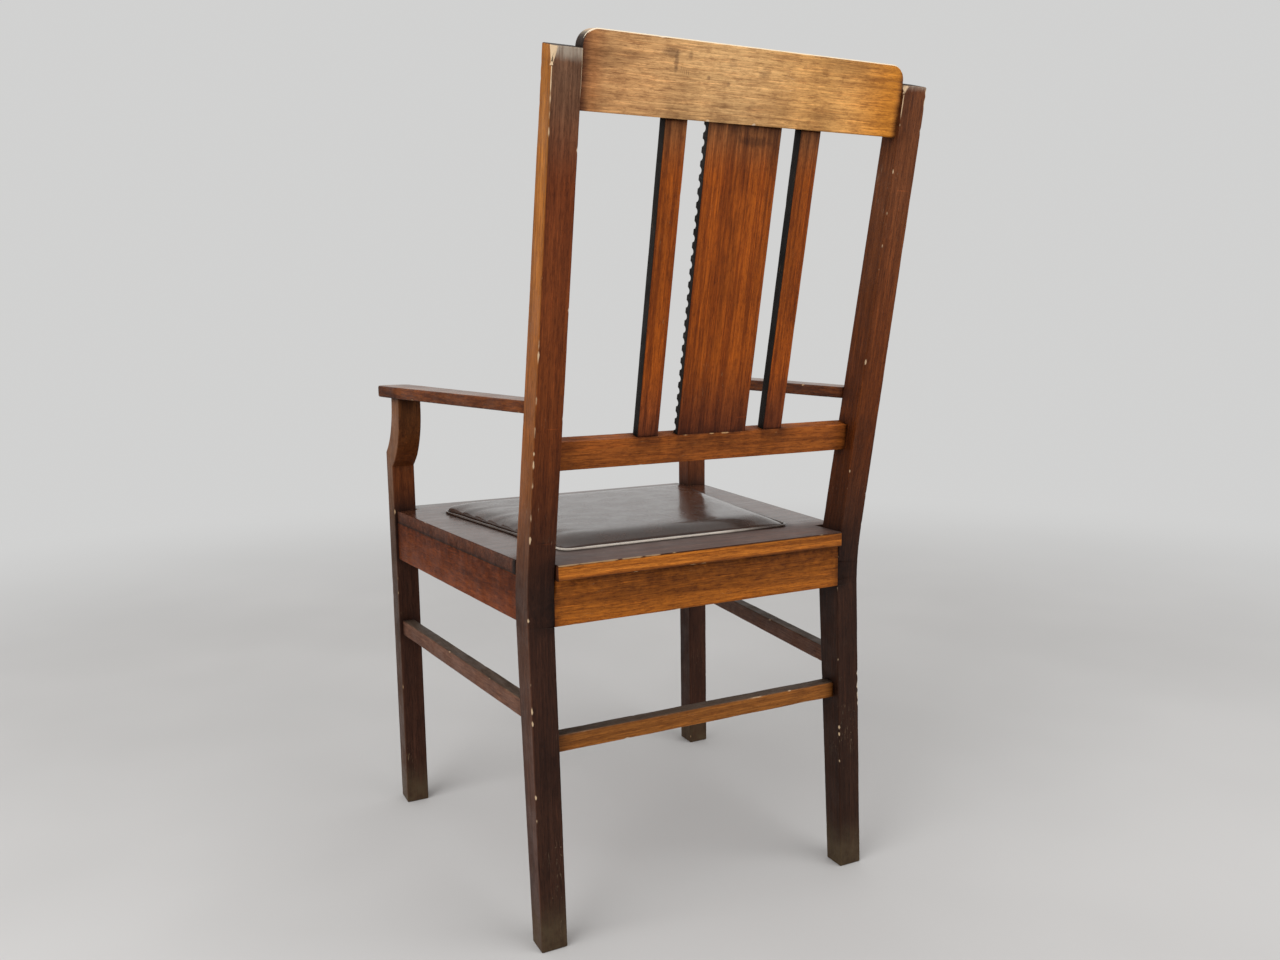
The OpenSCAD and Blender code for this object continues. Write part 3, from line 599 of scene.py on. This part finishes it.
# The darkest stops, within about a centimetre of each end, are painted shade on the rounded ends and
# against the posts
CREST = wood("crest_wood", [(-0.1955, (0.26, 0.09, 0.02)), (-0.186, (0.62, 0.24, 0.028)),
                            (-0.1, (0.72, 0.38, 0.12)), (0.03, (0.78, 0.47, 0.2)),
                            (0.165, (0.62, 0.34, 0.14)), (0.183, (0.5, 0.23, 0.085)),
                            (0.194, (0.24, 0.09, 0.035))],
             1.25, (0.85, 0.7, 0.52), edge=0.6, streak=0.45, gloss=(0.42, 0.6), pore=0.45, axis=0,
             cross=0.5,
             sides=[(0.5, (0.045, 0.027, 0.018)), (0.99, (0.055, 0.034, 0.024))], side_from=0.45,
             # rim: a pale highlight painted along the crest's top arris
             rim=(0.9, 0.76, 0.56),
             stains=[((0.0985, 0.2974, 0.9775), (0.014, 0.02, 0.0055), 0.75, SMUDGE),
                     ((0.0925, 0.2957, 0.969), (0.0035, 0.02, 0.013), 0.7, SMUDGE),
                     ((0.077, 0.2957, 0.976), (0.0035, 0.02, 0.007), 0.5, SMUDGE),
                     ((0.0272, 0.2962, 0.973), (0.008, 0.02, 0.006), 0.45, SMUDGE),
                     ((0.054, 0.293, 0.958), (0.003, 0.02, 0.003), 0.6, SMUDGE),
                     ((-0.012, 0.293, 0.968), (0.01, 0.02, 0.008), 0.4, SMUDGE),
                     ((0.03, 0.292, 0.954), (0.003, 0.02, 0.003), 0.6, SMUDGE)]
             + [((0.0865 - 0.0022 * k, 0.2937, 0.963 - 0.0006 * k), (0.0005, 0.02, 0.0045), 0.8, SMUDGE)
                for k in range(5)])
BOARD = wood("seat_wood", [(0.44, (0.085, 0.032, 0.016)), (0.449, (0.09, 0.034, 0.017))],
             1.3, (0.6, 0.4, 0.24), edge=0.7, gloss=(0.12, 0.2), specular=1.0, relief=0.15,
             dull=(0.1, 0.15))
# The dark band at the foot of the edges is dirt in the seam with the rails and painted contact shadow
# where the board meets them
BOARD_EDGE = wood("seat_edge_wood", [(0.4315, (0.12, 0.035, 0.006)), (0.435, (0.45, 0.148, 0.018)),
                                     (0.4465, (0.39, 0.125, 0.012)), (0.4484, (0.05, 0.02, 0.01))],
                  1.5, (0.62, 0.42, 0.22), edge=0.45, streak=1.0, dirt_and_shade=0.6,
                  sides=[(0.432, (0.05, 0.018, 0.009)), (0.436, (0.11, 0.036, 0.016)),
                         (0.448, (0.115, 0.04, 0.019))],
                  # the first three are painted shade in the gaps between the board's notches and the
                  # rear posts
                  stains=[((0.2245, 0.1415, 0.44), (0.016, 0.012, 0.02), 1.0, PAINTED_NOTCH_SHADE),
                          ((0.208, 0.1415, 0.44), (0.02, 0.003, 0.02), 1.0, PAINTED_NOTCH_SHADE),
                          ((-0.208, 0.1415, 0.44), (0.02, 0.003, 0.02), 1.0, PAINTED_NOTCH_SHADE),
                          ((-0.235, 0.1975, 0.44), (0.04, 0.05, 0.05), 0.4, SMUDGE)])
RAW = wood("raw_wood", [(0.2, (0.5, 0.33, 0.17)), (0.9, (0.52, 0.34, 0.18))],
           1.15, (0.62, 0.45, 0.27), gloss=(0.6, 0.8))


LEATHER_IOR = 1.3
LEATHER_GLOSS = 0.14


def leather(low, high, soft_to, front=None):
    """Old hide: fine creases, rubbed high spots, glossy. soft_to is how much its gloss varies, and
    front its dark colour away from the rear edge and towards that edge's right end. On the welt, low
    and high are pale: a highlight painted along the rolled rear edge."""
    n = Nodes("pad_leather")
    place = n.place()
    pebble = n.make("ShaderNodeTexVoronoi", feature="DISTANCE_TO_EDGE")
    n.feed(pebble.inputs["Vector"], place)
    pebble.inputs["Scale"].default_value = 620
    crease = n.window(pebble.outputs["Distance"], 0.0, 0.12)
    soft = n.noise(place, 34, 4, 0.6)
    fine = n.noise(place, 900, 2, 0.6)
    colour = n.mix(n.window(soft, 0.35, 0.7), low, high)
    colour = n.tint(n.window(crease, 0.0, 1.0, 0.4, 0.0), colour, (0.5, 0.45, 0.42))
    # on the welt the pale colour is a painted highlight, kept only along the rear edge; elsewhere it is
    # dark leather
    if front:
        spot = n.split(place)
        shaded = n.math("MAXIMUM", n.window(spot[1], 0.115, 0.105), n.window(spot[0], -0.045, -0.13))
        colour = n.mix(shaded, colour, front)
    rubbed = n.attribute("worn", "Fac")
    colour = n.tint(n.math("MULTIPLY", rubbed, 0.5), colour, (1.9, 1.8, 1.7))
    n.feed(n.shader.inputs["Base Color"], colour)
    n.feed(n.shader.inputs["Roughness"],
           n.window(soft, 0.3, 0.7, LEATHER_GLOSS, LEATHER_GLOSS + soft_to))
    normal = n.bump(n.math("ADD", crease, n.math("MULTIPLY", fine, 0.4)), 0.00006)
    normal = n.bump(n.noise(n.stretch(place, (14, 34, 22)), 1, 2, 0.5, 0.6), 0.0004, normal)
    n.feed(n.shader.inputs["Normal"], normal)
    n.shader.inputs["IOR"].default_value = LEATHER_IOR
    n.shader.inputs["Coat Weight"].default_value = 0.9
    n.shader.inputs["Coat Roughness"].default_value = LEATHER_GLOSS
    n.shader.inputs["Coat IOR"].default_value = LEATHER_IOR
    return n.material


def steel():
    """Dull plain steel with a turned finish and a trace of rust."""
    n = Nodes("screw_steel")
    place = n.place()
    spots = n.noise(place, 380, 4, 0.6)
    rust = n.window(spots, 0.55, 0.7)
    n.feed(n.shader.inputs["Base Color"], n.mix(rust, (0.42, 0.41, 0.39), (0.16, 0.07, 0.035)))
    n.feed(n.shader.inputs["Metallic"], n.window(rust, 0.0, 1.0, 1.0, 0.2))
    n.feed(n.shader.inputs["Roughness"], n.window(spots, 0.3, 0.7, 0.3, 0.7))
    turned = n.noise(n.stretch(place, (300, 300, 2600)), 1, 2)
    n.feed(n.shader.inputs["Normal"], n.bump(turned, 0.00006))
    return n.material


# ---------- the wooden pieces ----------

OUTER, INNER = 1, 0
# A depth well behind the chair, from which its back is looked at
BEHIND = 2


def on_arris(node, side, heights, size, depth):
    """Chips of one size on a rear post's back arris, on its outer or inner side."""
    lo, hi = BOXES[node]
    x = hi.x if (hi.x > 0) == (side == OUTER) else lo.x
    chips = []
    for z in heights:
        ray = TREES[node].ray_cast(Vector(((lo.x + hi.x) / 2, BEHIND, z)), -Y)
        if ray[0] is not None:
            chips.append((Vector((x, ray[0].y, z)), size, depth))
    return chips


# side, heights, size and depth of the chips that the photo shows on each rear post
LEFT_CHIPS = (
    (OUTER, (0.697, 0.682, 0.578, 0.57, 0.563), 0.0028, 0.8),
    (OUTER, (0.481, 0.389, 0.286, 0.2705, 0.186), 0.0034, 1.1),
    (OUTER, (0.692, 0.688, 0.676, 0.671, 0.665, 0.659, 0.652, 0.637, 0.631, 0.604,
             0.599, 0.594, 0.548, 0.543, 0.509, 0.504, 0.499, 0.494), 0.003, 0.4),
    (OUTER, (0.956, 0.948, 0.938, 0.925, 0.91, 0.895), 0.008, 0.45),
)
RIGHT_CHIPS = (
    (OUTER, (0.924, 0.965, 0.958, 0.951), 0.0035, 0.9),
    (OUTER, (0.983, 0.979, 0.974, 0.97), 0.005, 1.1),
    (INNER, (0.984, 0.98, 0.974), 0.005, 1.0),
    (OUTER, (0.257, 0.241, 0.228, 0.218), 0.0035, 1.2),
    (INNER, (0.95, 0.93, 0.905, 0.88, 0.86, 0.835, 0.8, 0.77), 0.0025, 0.7),
    (INNER, (0.189, 0.181), 0.003, 1.0),
)
for post, material, rows in (("rear_post_left", POST_LEFT, LEFT_CHIPS),
                             ("rear_post_right", POST_RIGHT, RIGHT_CHIPS)):
    wooden(post, material, None, width=0.0015, step=0.0045, chips=26,
           placed=[chip for row in rows for chip in on_arris(post, *row)])
wooden("front_post_left", FRONT, Z, X, width=0.0015, step=0.0055, chips=24)
wooden("front_post_right", FRONT, Z, X, width=0.0015, step=0.0055, chips=24)
wooden("crest_rail", CREST, X, Z, width=0.002, step=0.004, chips=8, uneven=0.3)
wooden("lower_back_rail", RAIL, X, Z, width=0.0012, step=0.005, chips=8)
wooden("centre_splat", SLAT, RAKE, X, width=0.0008, step=0.006, chips=6, min_edge=0.02,
       uneven=0.4)
wooden("back_slat_left", SLAT, RAKE, X, width=0.001, step=0.006, chips=5)
wooden("back_slat_right", SLAT, RAKE, X, width=0.001, step=0.006, chips=5)
wooden("front_seat_rail", RAIL, X, Z, chips=14)
wooden("rear_seat_rail", RAIL, X, Z, chips=14)
for side in ("left", "right"):
    wooden("side_seat_rail_" + side, RAIL, Y, Z, chips=12)
    wooden("side_stretcher_" + side, STRETCHER, Y, Z, width=0.0016, step=0.0055, chips=14)
    wooden("arm_" + side, ARM_TOP, Y, X, width=0.0018, step=0.005, chips=16, edges=ARM)
wooden("rear_stretcher", STRETCHER, X, Z, width=0.0016, step=0.0055, chips=14, uneven=1.0)

# The splintered part of the board's rear edge: where it starts, its length, and its splinters
SPLIT_FROM, SPLIT_LENGTH, SPLINTERS = 0.19, 0.125, 34
board_hi = BOXES["seat_board"][1]
ragged = []
edge_rng = random.Random("board edge")
for k in range(SPLINTERS):
    x = SPLIT_FROM - SPLIT_LENGTH * k / SPLINTERS + edge_rng.uniform(-0.002, 0.002)
    ragged.append((Vector((x, board_hi.y, board_hi.z)), edge_rng.uniform(0.002, 0.005),
                   edge_rng.uniform(0.5, 1.6)))
wooden("seat_board", BOARD, X, Y, width=0.001, step=0.005, chips=40, placed=ragged,
       second=(Y, 0.012), edges=BOARD_EDGE)

DIAGONAL = Vector((0.7071, 0.7071, 0))
for name in ("front_left", "front_right", "rear_left", "rear_right"):
    wooden("corner_block_" + name, RAW, DIAGONAL, Z, width=0.0008, step=0.02, chips=3)
STEEL = steel()
for name, material in (("seat_rail_dowels", RAW), ("lower_rail_dowels", RAW), ("crest_dowels", RAW),
                       ("corner_block_screws", STEEL), ("seat_board_screws", STEEL)):
    dress(NODES[name], material)


# ---------- the leather pad ----------

# Net of the pad: spacing across and up, how much smaller it starts, and its share of the height
PAD_STEP, PAD_STEP_UP = 0.005, 0.0033
PAD_INSET, PAD_START = 0.003, 0.72
# Frames of the cloth, the most that a point may move, and the crown above the CAD's flat pad
PAD_FRAMES = 20
PAD_CAP = 0.0035
PAD_CROWN = 0.0035
# How far the pad stays clear of the board, and the depth of the band that is its rear edge
PAD_CLEAR = 0.0002
PAD_REAR_BAND = 0.006
# Pulls and folds in the leather: their height, how far the folds reach from the left, the worn rim
PAD_PULL, PAD_FOLD, FOLD_REACH, RIM = 0.0005, 0.0008, 0.035, 0.004
# How each edge rises to the crown, as (reach, power): rear, right, left, front
PAD_EDGES = ((0.023, 1.9), (0.018, 1.6), (0.015, 1.3), (0.008, 1.2))
# The welt's radius, how far inside the pad's foot it lies, how much it wanders, and its point spacing
WELT_R, WELT_INSET, WELT_WANDER, WELT_STEP = 0.0018, 0.0006, 0.0006, 0.009
SAME_SPOT = 1e-5


def pad_sheet():
    """The pad's solid, a little smaller, as a fine net ready to be inflated as cloth."""
    lo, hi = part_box("seat_pad")
    centre = (lo + hi) / 2
    bm = clean_copy("seat_pad")
    for axis, step in ((X, PAD_STEP), (Y, PAD_STEP), (Z, PAD_STEP_UP)):
        slice_up(bm, axis, step)
    for v in bm.verts:
        flat = Vector((v.co.x - centre.x, v.co.y - centre.y))
        flat -= flat.normalized() * PAD_INSET
        v.co.x, v.co.y = centre.x + flat.x, centre.y + flat.y
        v.co.z = lo.z + (v.co.z - lo.z) * PAD_START
    mesh = bpy.data.meshes.new("leather_pad")
    bm.to_mesh(mesh)
    bm.free()
    return linked("leather_pad", mesh), lo, hi


def inflate(obj):
    """Swells the net as cloth under pressure, with each point's move capped."""
    cloth = obj.modifiers.new("cloth", "CLOTH")
    cloth.settings.quality = 6
    cloth.settings.mass = 0.3
    cloth.settings.tension_stiffness = 15
    cloth.settings.compression_stiffness = 15
    cloth.settings.bending_stiffness = 2
    cloth.settings.use_pressure = True
    cloth.settings.uniform_pressure_force = 4
    cloth.settings.effector_weights.gravity = 0
    cloth.collision_settings.use_collision = False
    cloth.point_cache.frame_start = 1
    cloth.point_cache.frame_end = PAD_FRAMES
    before = [v.co.copy() for v in obj.data.vertices]
    for frame_number in range(1, PAD_FRAMES + 1):
        bpy.context.scene.frame_set(frame_number)
    graph = bpy.context.evaluated_depsgraph_get()
    swollen = obj.evaluated_get(graph).to_mesh()
    moves = [swollen.vertices[i].co - before[i] for i in range(len(before))]
    obj.evaluated_get(graph).to_mesh_clear()
    obj.modifiers.clear()
    for v, start, move in zip(obj.data.vertices, before, moves):
        if move.length > PAD_CAP:
            move = move.normalized() * PAD_CAP
        v.co = start + move
    bpy.context.scene.frame_set(1)


def pad_half_rear(hi):
    """Half width of the pad at its rear edge."""
    verts = NODES["seat_pad"].data.vertices
    return max(abs(v.co.x) for v in verts if v.co.y > hi.y - PAD_REAR_BAND)


def shape_pad(obj, lo, hi):
    """Rests the pad on the board: a low crown that thins to a rolled edge, with pulls and creases."""
    worn = obj.data.attributes.new("worn", "FLOAT", "POINT")
    half_rear = pad_half_rear(hi)
    full = hi.z - lo.z + PAD_CROWN
    half_front = (hi.x - lo.x) / 2
    for i, v in enumerate(obj.data.vertices):
        p = v.co
        share = (p.y - lo.y) / (hi.y - lo.y)
        half = half_front + (half_rear - half_front) * share
        from_left = half - p.x
        insides = (hi.y - p.y, half + p.x, from_left, p.y - lo.y)
        crown = 1.0
        for inside, (reach, power) in zip(insides, PAD_EDGES):
            crown *= 1 - math.exp(-(max(0.0, inside) / reach) ** power)
        rim = max(0.0, min(insides))
        upper = max(0.0, min(1.0, (p.z - lo.z) / (full * 0.6)))
        edge = full * (0.18 + 0.4 * (1 - share) ** 2)
        pull = PAD_PULL * noise.noise(Vector((p.x * 16, p.y * 11, 3.1)))
        wave = math.sin(p.y * 150 + 3 * noise.noise(p * 25))
        fold = PAD_FOLD * math.exp(-max(0.0, from_left) / FOLD_REACH) * wave
        z = lo.z + (edge + (full - edge) * crown + (pull + fold) * crown) * upper
        v.co.z = max(lo.z + PAD_CLEAR, min(z, hi.z + PAD_CROWN))
        worn.data[i].value = math.exp(-rim / RIM) * upper
    obj.data.update()


def make_welt(lo, hi):
    """The rolled edge of the leather, one thin tube right round the foot of the pad."""
    verts = [v.co for v in NODES["seat_pad"].data.vertices if v.co.z < lo.z + SAME_SPOT]
    centre = (lo + hi) / 2
    ring = sorted(verts, key=lambda c: math.atan2(c.y - centre.y, c.x - centre.x))
    points = []
    for c in ring:
        if not points or (c - points[-1]).length > SAME_SPOT:
            points.append(c.copy())
    spaced = []
    for a, b in zip(points, points[1:] + points[:1]):
        count = max(1, round((b - a).length / WELT_STEP))
        spaced += [a.lerp(b, k / count) for k in range(count)]
    points = spaced
    curve = bpy.data.curves.new("leather_welt", "CURVE")
    curve.dimensions = "3D"
    curve.bevel_depth = WELT_R
    curve.bevel_resolution = 3
    line = curve.splines.new("POLY")
    line.points.add(len(points) - 1)
    for target, c in zip(line.points, points):
        flat = Vector((c.x - centre.x, c.y - centre.y, 0))
        spot = c - flat.normalized() * (WELT_R + WELT_INSET)
        swell = noise.noise(c * 38)
        target.co = (spot.x, spot.y + WELT_WANDER * swell, lo.z + WELT_R * 0.95, 1)
        target.radius = 0.9 + 0.35 * swell
    line.use_cyclic_u = True
    shell = linked("leather_welt_tmp", curve)
    graph = bpy.context.evaluated_depsgraph_get()
    mesh = bpy.data.meshes.new_from_object(shell.evaluated_get(graph))
    bpy.data.objects.remove(shell)
    smooth(mesh)
    return linked("leather_welt", mesh)


pad, pad_lo, pad_hi = pad_sheet()
inflate(pad)
shape_pad(pad, pad_lo, pad_hi)
smooth(pad.data)
LEATHER = leather((0.03, 0.014, 0.008), (0.046, 0.021, 0.012), 0.16)
# The welt's pale colour is a painted highlight, the glint along its rolled rear edge; away from that
# edge and at its right end it is dark leather
WELT_PAINTED_GLINT = leather((0.55, 0.49, 0.42), (0.7, 0.64, 0.56), 0.1, (0.05, 0.03, 0.02))
dress(pad, LEATHER)
welt = make_welt(pad_lo, pad_hi)
dress(welt, WELT_PAINTED_GLINT)
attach(welt, "root")
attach(pad, "root")
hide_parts("seat_pad")


# ---------- camera, floor and light ----------

BACKGROUND = (0.64, 0.64, 0.635, 1)
FLOOR_SIZE = 30
# The floor runs into the background between these distances from the chair (m)
FADE_FROM, FADE_TO = 1.1, 3.2
ROOM_LIGHT = 0.62
MIDDLE = Vector((0, 0, 0.5))


def make_camera():
    """The photo's camera, from its place and its three angles."""
    level = math.cos(PITCH)
    ahead = Vector((-math.sin(YAW) * level, -math.cos(YAW) * level, math.sin(PITCH)))
    right = Vector((-math.cos(YAW), math.sin(YAW), 0.0))
    up = right.cross(ahead)
    side = math.cos(ROLL) * right + math.sin(ROLL) * up
    top = -math.sin(ROLL) * right + math.cos(ROLL) * up
    data = bpy.data.cameras.new("camera")
    data.lens = LENS
    data.sensor_width = SENSOR
    camera = linked("camera", data)
    camera.matrix_world = Matrix((
        (side.x, top.x, -ahead.x, EYE.x),
        (side.y, top.y, -ahead.y, EYE.y),
        (side.z, top.z, -ahead.z, EYE.z),
        (0, 0, 0, 1),
    ))
    bpy.context.scene.camera = camera


def make_floor():
    """A pale paper floor that keeps the chair's shadow."""
    bpy.ops.mesh.primitive_plane_add(size=FLOOR_SIZE)
    floor = bpy.context.object
    floor.name = "floor"
    n = Nodes("floor_paper")
    cloud = n.noise(n.place(), 1.1, 3)
    n.feed(n.shader.inputs["Base Color"],
           n.mix(n.window(cloud, 0.3, 0.7), (0.56, 0.555, 0.55), (0.61, 0.605, 0.6)))
    n.feed(n.shader.inputs["Roughness"], n.window(cloud, 0.3, 0.7, 0.75, 0.85))
    # away from the chair the paper runs into the pale background
    spot = n.split(n.place())
    squares = [n.math("MULTIPLY", spot[i], spot[i]) for i in (0, 1)]
    far = n.math("SQRT", n.math("ADD", *squares))
    seen = n.make("ShaderNodeLightPath").outputs["Is Camera Ray"]
    glow = n.make("ShaderNodeEmission")
    glow.inputs[0].default_value = BACKGROUND
    both = n.make("ShaderNodeMixShader")
    n.feed(both.inputs[0], n.math("MULTIPLY", n.window(far, FADE_FROM, FADE_TO), seen))
    n.feed(both.inputs[1], n.shader.outputs[0])
    n.feed(both.inputs[2], glow.outputs[0])
    n.feed(n.tree.nodes["Material Output"].inputs[0], both.outputs[0])
    floor.data.materials.append(n.material)


def make_world():
    """Plain soft light from all round, and a pale background behind what the camera sees."""
    world = bpy.data.worlds.new("studio")
    bpy.context.scene.world = world
    world.use_nodes = True
    tree = world.node_tree
    light = tree.nodes["Background"]
    light.inputs[0].default_value = (1.0, 0.985, 0.97, 1)
    light.inputs[1].default_value = ROOM_LIGHT
    seen = tree.nodes.new("ShaderNodeBackground")
    seen.inputs[0].default_value = BACKGROUND
    seen.inputs[1].default_value = 1.0
    path = tree.nodes.new("ShaderNodeLightPath")
    either = tree.nodes.new("ShaderNodeMath")
    either.operation = "MAXIMUM"
    both = tree.nodes.new("ShaderNodeMixShader")
    tree.links.new(path.outputs["Is Camera Ray"], either.inputs[0])
    tree.links.new(path.outputs["Is Transmission Ray"], either.inputs[1])
    tree.links.new(either.outputs[0], both.inputs[0])
    tree.links.new(light.outputs[0], both.inputs[1])
    tree.links.new(seen.outputs[0], both.inputs[2])
    tree.links.new(both.outputs[0], tree.nodes["World Output"].inputs[0])


def soft_lamp(name, place, size, power):
    """A large soft lamp, of width and height size, that points at the chair's middle."""
    data = bpy.data.lights.new(name, "AREA")
    data.shape = "RECTANGLE"
    data.size, data.size_y = size
    data.energy = power
    lamp = linked(name, data)
    lamp.location = place
    lamp.rotation_euler = (MIDDLE - Vector(place)).to_track_quat("-Z", "Y").to_euler()


make_camera()
make_floor()
make_world()
soft_lamp("key_left", (2.5, 0.9, 2.1), (2.6, 2.6), 58)
soft_lamp("fill_right", (-1.6, 2.4, 1.9), (2.6, 2.4), 42)
bpy.context.scene.view_settings.view_transform = "Standard"
